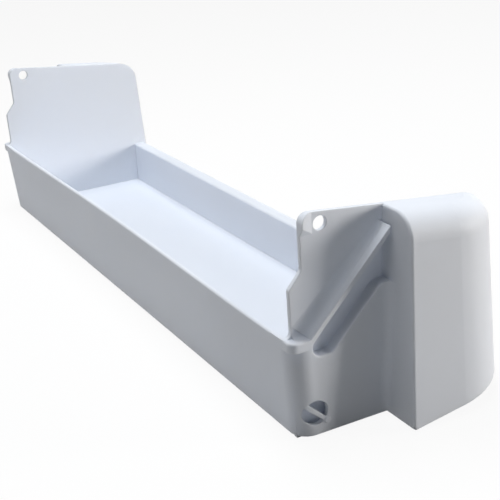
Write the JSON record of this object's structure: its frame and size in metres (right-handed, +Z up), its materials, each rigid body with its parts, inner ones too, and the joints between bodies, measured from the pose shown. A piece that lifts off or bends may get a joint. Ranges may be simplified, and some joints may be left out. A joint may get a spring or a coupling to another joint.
{
  "type": "fridge door shelf",
  "caption": "Long open shelf bin for a fridge door: white moulded plastic tub with raised end plates, hollow rounded hoods and a diagonal channel at each end.",
  "frame": {"origin": "middle of the bounding box, at the level of the underside", "axes": "+X along the shelf, +Y towards the room, away from the door, +Z up"},
  "size_m": [0.4998, 0.1186, 0.1104],
  "materials": {
    "white_plastic": "satin, smooth white plastic"
  },
  "bodies": {
    "root": {"door_shelf": "white_plastic"}
  },
  "joints": []
}
